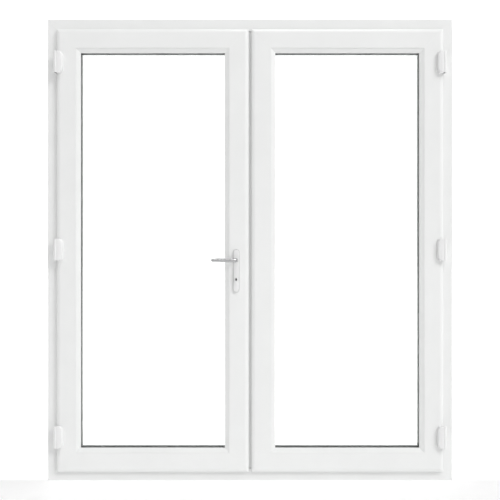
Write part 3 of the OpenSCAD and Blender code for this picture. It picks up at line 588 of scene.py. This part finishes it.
hinge = {"tall": 96 * mm, "split": 0.5 * mm, "shell": 0.5 * mm, "gap": 0.2 * mm,
         "cornerWide": 15 * mm, "cornerTall": 24 * mm, "farThick": 14.0 * mm, "farRound": 8.0 * mm,
         "bow": 0.8 * mm, "end": 1.6 * mm, "arc": (-87, -58), "rows": 25}
knuckle = {"ease": 1.0 * mm, "centre": 0.4 * mm, "socket": 6.0 * mm, "socketDeep": 5 * mm,
           "socketEdge": 0.2 * mm}
pinLow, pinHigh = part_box("hinge_pins")
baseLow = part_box("hinge_bases")[0]
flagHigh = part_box("left_hinge_flags")[1]
axisY = (pinLow[1] + pinHigh[1]) / 2
pinR = (pinHigh[1] - pinLow[1]) / 2
axisX = pinHigh[0] - pinR
barrelR = axisY - baseLow[1]
flagReach = flagHigh[0] + axisX
hingeH = hinge["tall"]
hingeZs = [baseLow[2] + hingeH / 2, (baseLow[2] + flagHigh[2]) / 2, flagHigh[2] - hingeH / 2]


def flagRings(z):
    # a flag's section at each height: an arc round the barrel, a slope down to the leaf and a
    # rounded far edge whose distance follows a quarter ellipse near the ends
    p = hinge
    height = np.sin(np.linspace(-1, 1, p["rows"]) * math.pi / 2) * hingeH / 2
    over = np.clip((np.abs(height) - (hingeH / 2 - p["cornerTall"])) / p["cornerTall"], 0, 1)
    far = flagReach - p["cornerWide"] * (1 - np.sqrt(np.maximum(1 - over ** 2, 0)))
    leafY = leafFront - axisY
    outer, inner = barrelR + p["shell"], barrelR + p["gap"]
    start, stop = np.radians(p["arc"])
    front = np.linspace(start, stop, 10)
    back = np.linspace(0, start, 10)
    rings = []
    for reach, tall in zip(far, height):
        depth = p["end"] * np.clip(1 - (hingeH / 2 - abs(tall)) / p["end"], 0, 1) ** 2
        arc = np.stack([np.cos(front), np.sin(front)], 1) * (outer - depth)
        edgeY = leafY - p["farThick"] + depth
        t = np.linspace(0.08, 1, 8)[:, None]
        slope = arc[-1:] + t * (np.array([[reach - p["farRound"], edgeY]]) - arc[-1:])
        bow = np.sin(t * math.pi) * p["bow"]
        slope = slope - np.concatenate([bow * 0, bow], 1)
        q = np.linspace(0.15, 1, 6) * math.pi / 2
        nose = np.stack([reach - (1 - np.sin(q)) * p["farRound"],
                         edgeY + (1 - np.cos(q)) * (leafY - edgeY)], 1)
        foot = np.array([[inner, leafY]])
        cave = np.stack([np.cos(back), np.sin(back)], 1) * inner
        rings.append(np.concatenate([arc, slope, nose, foot, cave]))
    outline = np.array(rings)
    z3 = np.repeat((height + z)[:, None], outline.shape[1], 1)
    return np.stack([outline[..., 0] - axisX, outline[..., 1] + axisY, z3], -1)


def turned(profile, count, centre):
    # a profile (radius, height) spun about an upright axis through centre
    angle = np.linspace(0, 2 * math.pi, count, endpoint=False)
    r, z = np.array(profile).T
    x = centre[0] + r[:, None] * np.cos(angle)
    y = centre[1] + r[:, None] * np.sin(angle)
    return np.stack([x, y, np.repeat(z[:, None], count, 1)], -1)


def knuckleRings(z0, z1, socket=False):
    # a barrel half with eased ends, and a socket in its lower end if asked, its inside painted
    # near-black as shade
    p = knuckle
    e = p["ease"]
    q = np.linspace(0, math.pi / 2, 5)
    low = np.stack([barrelR - e + e * np.sin(q), z0 + e - e * np.cos(q)], 1)
    high = low[::-1] * [1, -1] + [0, z0 + z1]
    start = [[p["centre"], z0]]
    if socket:
        r, top = p["socket"], z0 + p["socketDeep"]
        start = [[p["centre"], top], [r, top], [r, z0 + p["socketEdge"]],
                 [r + p["socketEdge"], z0]]
    profile = np.concatenate([start, low, high, [[p["centre"], z1]]])
    return turned(profile, 40, (-axisX, axisY))


def footRings(z0, z1):
    # the plate that stands the knuckle off the frame, with rounded long edges
    x0, x1 = -axisX - barrelR, -axisX - 1 * mm
    outline = roundOutline([(x0, axisY, 0.5 * mm), (x1, axisY, 0.5 * mm),
                            (x1, frameFront, 0.5 * mm), (x0, frameFront, 1.5 * mm)])
    return uprightRings(outline, z0, z1)


def mirrorX(rings):
    return rings * np.array([-1, 1, 1])


bases = []
for z in hingeZs:
    pieces = [knuckleRings(z - hingeH / 2, z - hinge["split"], True),
              footRings(z - hingeH / 2 + 1 * mm, z - 1.5 * mm)]
    bases += pieces + [mirrorX(piece) for piece in pieces]
# the sockets' ceilings and walls take the near-black second material: painted shade in the hollows
sockets = [(part, 0, 2) for part in range(0, len(bases), 2)]
makePiece("hinge_frame_knuckles", bases, [hingeCoat, hollowShadeBlack], "frame", ["hinge_bases"],
          darkRings=sockets)
for hand, prefix in ((-1, "left"), (1, "right")):
    flags = []
    for z in hingeZs:
        flags += [flagRings(z), knuckleRings(z + hinge["split"], z + hingeH / 2)]
    if hand > 0:
        flags = [mirrorX(flag) for flag in flags]
    makePiece(prefix + "_hinge_covers", flags, [hingeCoat], prefix + "_leaf",
              [prefix + "_hinge_flags"])
print("hinges made")

plate = {"fillet": 2.0 * mm, "crown": 0.6 * mm, "gasketThick": 0.8 * mm, "gasketShows": 0.9 * mm,
         "hole": 8.8 * mm, "sidePoints": 21}
spindleLow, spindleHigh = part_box("spindle")
lockX = (spindleLow[0] + spindleHigh[0]) / 2
leverZ = (spindleLow[2] + spindleHigh[2]) / 2
plugR = 6.5 * mm
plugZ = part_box("cylinder_plug")[1][2] - plugR


def plateRings(node, way):
    # a long plate with round ends on a thin gasket, whose dark grey rim showing round its foot is
    # partly painted contact shadow: walls, a rolled edge, a face whose height falls with the square of
    # the distance from its centre line, and the cylinder's hole, closed behind
    p = plate
    (x0, y0, z0), (x1, y1, z1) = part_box(node)
    back, face = (y1, y0) if way < 0 else (y0, y1)
    r, mid = (x1 - x0) / 2, (x0 + x1) / 2
    top, bottom = np.array([mid, z1 - r]), np.array([mid, z0 + r])
    q = np.linspace(0, math.pi, 25)
    half = np.stack([np.cos(q), np.sin(q)], 1) * r
    # the straight sides get points at even angles as seen from the cylinder, so its hole is round
    side = plugZ + r * np.tan(np.radians(np.linspace(-70, 80, p["sidePoints"])))
    outline = np.concatenate([np.stack([np.full(len(side), x1), side], 1), top + half,
                              np.stack([np.full(len(side), x0), side[::-1]], 1), bottom - half])
    tall, roll = abs(face - back) - p["crown"], p["fillet"]
    seat, step = p["gasketThick"], p["gasketShows"]
    q = np.linspace(0, math.pi / 2, 7)
    rise = np.concatenate([[0, seat, seat], tall - roll + roll * np.sin(q)])
    inset = np.concatenate([[0, 0, step], step + roll * (1 - np.cos(q))])
    rings = [np.column_stack([outline - outward(outline) * i, np.full(len(outline), h)])
             for h, i in zip(rise, inset)]
    rim = rings[-1][:, :2]
    eye = np.array([lockX, plugZ])
    hole = eye + unit(rim - eye) * p["hole"]
    for t in (0.12, 0.3, 0.5, 0.7, 0.85, 0.95, 1.0):
        flat = rim + (hole - rim) * t
        spine = np.stack([np.full(len(rim), mid), np.clip(flat[:, 1], bottom[1], top[1])], 1)
        s = np.linalg.norm(flat - spine, axis=1) / (r - roll - step)
        rings.append(np.column_stack([flat, tall + p["crown"] * (1 - np.minimum(s, 1) ** 2)]))
    rings.append(np.column_stack([hole, np.zeros(len(rim))]))
    stack = np.array(rings)
    return (np.stack([stack[..., 0], back + way * stack[..., 2], stack[..., 1]], -1),)


lever = {"neck": 8.6 * mm, "waist": 8.0 * mm, "bend": 14 * mm, "gripThick": 8.4 * mm,
         "tipThick": 6.3 * mm, "flatness": 0.72, "tipShare": 0.06, "short": 0.6 * mm,
         "offPlate": 0.15 * mm}


def leverRings(face, way):
    # a neck that leaves the plate, bends through a quarter circle and runs on as a grip that
    # tapers and flattens to a round tip; each ring is an ellipse square to the path
    p = lever
    low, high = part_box("inside_lever" if way < 0 else "outside_lever")
    tipX = low[0]
    outFar = abs((low[1] if way < 0 else high[1]) - face)
    gripY = outFar - p["gripThick"] * p["flatness"] - p["short"]
    bend = p["bend"]
    rise = np.array([p["offPlate"], 1.5 * mm, 2.5 * mm, 3.5 * mm, 6 * mm, gripY - bend])
    neckR = p["waist"] + (p["neck"] - p["waist"]) * np.array([1, 1, 0.5, 0, 0, 0])
    q = np.linspace(0, math.pi / 2, 12)[1:]
    run = lockX - tipX - bend
    share = p["tipShare"]
    tip = 1 - share * (1 - np.sin(np.linspace(0.1, 1, 7) * math.pi / 2))
    s = np.concatenate([np.linspace(0.03, 1 - share, 14), tip])
    path = np.concatenate([
        np.stack([np.zeros(6), rise, np.zeros(6)], 1),
        np.stack([bend * (1 - np.cos(q)), gripY - bend + bend * np.sin(q), q], 1),
        np.stack([bend + run * s, np.full(len(s), gripY), np.full(len(s), math.pi / 2)], 1)])
    body = p["gripThick"] + (p["tipThick"] - p["gripThick"]) * s
    close = np.sqrt(np.maximum(1 - np.clip((s - 1 + share) / share, 0, 1) ** 2, 0.0))
    bendR = np.linspace(p["waist"], p["gripThick"], 11)
    tall = np.concatenate([neckR, bendR, body * np.maximum(close, 0.05)])
    flat = np.concatenate([np.ones(6), np.linspace(1, p["flatness"], 11),
                           np.full(len(s), p["flatness"])])
    angle = np.linspace(0, 2 * math.pi, 40, endpoint=False)
    across, turn = path[:, 0][:, None], path[:, 2][:, None]
    wide = (tall * flat)[:, None] * np.cos(angle)
    x = lockX - (across - wide * np.cos(turn))
    y = face + way * (path[:, 1][:, None] + wide * np.sin(turn))
    z = leverZ + tall[:, None] * np.sin(angle)
    return np.stack([x, y, z], -1)


def facingRings(layers, edge, way):
    # outlines (x, z) about the plug's centre, each at a depth behind a face at edge
    eye = np.array([lockX, plugZ])
    rings = [np.column_stack([shape + eye, np.full(len(shape), edge - way * deep)])
             for shape, deep in layers]
    return np.array(rings)[..., [0, 2, 1]]


cylinder = {"tail": 5 * mm, "long": 12 * mm, "edge": 0.4 * mm, "boreEase": 0.2 * mm,
            "boreDeep": 6 * mm}


def cylinderRings(way):
    # the profile cylinder's end: a round head with a straight tail, its rim eased, and the bore
    # that the plug turns in, drawn as a circle at the outline's own angles
    p = cylinder
    (x0, y0, z0), (x1, y1, z1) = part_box("lock_cylinder")
    r, tail = (x1 - x0) / 2, p["tail"]
    centreZ = z1 - r
    spread = math.asin(tail / r)
    angle = np.linspace(-math.pi / 2 + spread, 3 * math.pi / 2 - spread, 40)
    head = np.stack([r * np.cos(angle), r * np.sin(angle)], 1)
    q = np.linspace(math.pi, 2 * math.pi, 12)
    foot = np.stack([tail * np.cos(q), z0 - centreZ + tail + tail * np.sin(q)], 1)
    outline = np.concatenate([head, foot])
    bore = unit(outline) * (plugR + p["boreEase"])
    eased = outline - outward(outline) * p["edge"]
    return facingRings([(outline, p["long"]), (outline, p["edge"]), (eased, 0), (bore, 0),
                        (bore, p["boreDeep"])], y0 if way < 0 else y1, way)


plug = {"long": 5.8 * mm, "ease": 0.1 * mm, "edge": 0.2 * mm, "mouthEdge": 0.15 * mm,
        "mouthDeep": 5 * mm, "keyTop": 3.4 * mm, "keyBottom": 2.3 * mm, "keyUp": 5.4 * mm,
        "keyDown": 5.9 * mm}


def plugRings(way):
    # the plug's face: a round rim, then a keyway mouth that narrows downwards, cut deep, its walls and
    # floor painted near-black as shade;
    # the mouth is a circle stretched each way, with its sides and ends squared off by two powers
    p = plug
    low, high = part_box("cylinder_plug")
    r = plugR - p["ease"]
    angle = np.linspace(0, 2 * math.pi, 48, endpoint=False)
    across, up = np.cos(angle), np.sin(angle)
    rim = np.stack([across, up], 1)
    wide = np.where(up > 0, p["keyTop"], p["keyTop"] + (p["keyBottom"] - p["keyTop"]) * -up)
    tall = np.where(up > 0, p["keyUp"], p["keyDown"])
    mouth = np.stack([wide * np.abs(across) ** 0.4 * np.sign(across),
                      tall * np.abs(up) ** 0.75 * np.sign(up)], 1)
    return facingRings([(rim * r, p["long"]), (rim * r, p["edge"]), (rim * (r - p["edge"]), 0),
                        (mouth + rim * p["ease"], 0), (mouth, p["mouthEdge"]),
                        (mouth, p["mouthDeep"])], low[1] if way < 0 else high[1], way)


for prefix, way in (("inside", -1), ("outside", 1)):
    plateNode = prefix + "_plate"
    low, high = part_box(plateNode)
    face = low[1] if way < 0 else high[1]
    # the gasket rows take the dark seal grey; the rim that shows round the plate is a real seat and
    # partly painted contact shadow
    makePiece(plateNode + "_cover", [plateRings(plateNode, way)], [whiteCoat, sealGrey],
              "left_leaf", [plateNode], 40.0, ((0, 0, 2),))
    makePiece(prefix + "_lever_grip", [leverRings(face, way)], [satinLever], "lever_set",
              [prefix + "_lever"], 40.0)
makePiece("lock_cylinder_ends", [cylinderRings(-1), cylinderRings(1)], [whiteCoat], "left_leaf",
          ["lock_cylinder"], 40.0)
# the keyway's walls and floor take the near-black paint: painted shade
makePiece("plug_ends", [plugRings(-1), plugRings(1)], [whiteCoat, hollowShadeBlack], "key_plug",
          ["cylinder_plug"], 40.0, ((0, 4, 5), (1, 4, 5)))
print("handles made")

# hardware that keeps its own shape, with its edges eased by a width
eased = {"astragal": (pvcAlongZ, "right_leaf", "white_pvc", 0.8 * mm),
         "astragal_keeps": (brightSteel, "right_leaf", "bright_steel", 0.3 * mm),
         "frame_keeps": (brightSteel, "frame", "bright_steel", 0.3 * mm),
         "lock_faceplate": (brightSteel, "left_leaf", "bright_steel", 0.3 * mm),
         "locking_rods": (brightSteel, "rods", "bright_steel", 0.3 * mm),
         "latch_bolt": (brightSteel, "latch", "bright_steel", 0.4 * mm),
         "dead_bolt": (brightSteel, "deadbolt", "bright_steel", 0.4 * mm),
         "top_flush_bolt": (brightSteel, "top_bolt", "bright_steel", 0.4 * mm),
         "bottom_flush_bolt": (brightSteel, "bottom_bolt", "bright_steel", 0.4 * mm),
         "drain_caps": (pvcAlongX, "frame", "white_pvc", 1.2 * mm),
         "left_packers": (packerBlue, "left_leaf", "packer_blue", 0.5 * mm),
         "right_packers": (packerBlue, "right_leaf", "packer_blue", 0.5 * mm)}
for node, (material, body, slot, width) in eased.items():
    softened(node, material, body, width)

plain = {"frame_steels": zinc, "left_steels": zinc, "right_steels": zinc, "hinge_pins": brightSteel,
         "lock_case": zinc, "lock_follower": zinc, "plate_screws": brightSteel, "spindle": brightSteel}
for node, material in plain.items():
    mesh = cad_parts[node].data
    mesh.materials.clear()
    mesh.materials.append(material)
print("hardware made")

studio = {"distance": 2.6, "viewWidth": 2.2246, "skyLight": 0.49, "skySeen": 1.7,
          "floorGlow": 1.5, "floorHalf": 30.0, "skyGrey": (0.8, 0.8, 0.8, 1),
          "lights": {"key": ((28.0, -20.0, 27.0), 8000.0, (12.0, 12.0)),
                     "top": ((4.0, -18.0, 37.0), 4400.0, (14.0, 14.0)),
                     "front": ((0.4, -7.0, 1.1), 20.0, (4.0, 1.4))}}


def makeFloor():
    # pale and plain; it glows from under the doors to the far end, so that no horizon shows
    # through the glass and little light comes up at the doors
    size = studio["floorHalf"]
    mesh = bpy.data.meshes.new("floor")
    mesh.from_pydata([(-size, -size, 0), (size, -size, 0), (size, size, 0), (-size, size, 0)], [],
                     [(0, 1, 2, 3)])
    shop = Shop("paleFloor")
    cloud = shop.noise(0.8, 2.0)
    ahead = shop.node("ShaderNodeSeparateXYZ", {}, {"Vector": shop.place}, "Y")
    glow = shop.node("ShaderNodeMapRange", {}, {"Value": ahead, "From Min": -0.03,
                     "From Max": 0.0}, "Result")
    mesh.materials.append(shop.finish(
        Base_Color=shop.tint(cloud, (0.93, 0.93, 0.93), (0.95, 0.95, 0.95)), Roughness=0.9,
        Emission_Color=shop.tint(glow, (0.06, 0.06, 0.06), (1, 1, 1)),
        Emission_Strength=studio["floorGlow"]))
    floor = bpy.data.objects.new("floor", mesh)
    bpy.context.scene.collection.objects.link(floor)


def makeSky():
    # a pale surround: gentle where it lights the doors, full where it is looked at
    world = bpy.data.worlds.new("studio")
    bpy.context.scene.world = world
    sky = Tree(world)
    looks = [sky.node("ShaderNodeLightPath", {}, {}, kind)
             for kind in ("Is Camera Ray", "Is Transmission Ray")]
    seen = sky.node("ShaderNodeMath", {"operation": "MAXIMUM"}, dict(enumerate(looks)))
    strength = sky.node("ShaderNodeMapRange", {}, {"Value": seen, "To Min": studio["skyLight"],
                        "To Max": studio["skySeen"]}, "Result")
    sky.feed(sky.tree.nodes["Background"], {"Color": studio["skyGrey"], "Strength": strength})


def makeLight(name, at, aim, power, size):
    data = bpy.data.lights.new(name, "AREA")
    data.energy, data.shape, data.size, data.size_y = power, "RECTANGLE", *size
    light = bpy.data.objects.new(name, data)
    light.location = at
    step = np.array(aim) - np.array(at)
    flat = math.hypot(step[0], step[1])
    light.rotation_euler = (math.atan2(flat, -step[2]), 0, math.atan2(-step[0], step[1]))
    bpy.context.scene.collection.objects.link(light)


def makeCamera():
    # square on to the doors at mid height, as far off as the glass edges show
    data = bpy.data.cameras.new("camera")
    data.sensor_width = 36.0
    data.lens = 36.0 * studio["distance"] / studio["viewWidth"]
    camera = bpy.data.objects.new("camera", data)
    camera.location = (0, frameFront - studio["distance"], frameH / 2)
    camera.rotation_euler = (math.pi / 2, 0, 0)
    bpy.context.scene.collection.objects.link(camera)
    bpy.context.scene.camera = camera


makeFloor()
makeSky()
for name, (at, power, size) in studio["lights"].items():
    makeLight(name, at, (0, 0, frameH / 2), power, size)
makeCamera()
bpy.context.scene.view_settings.view_transform = "Standard"
print("studio made")
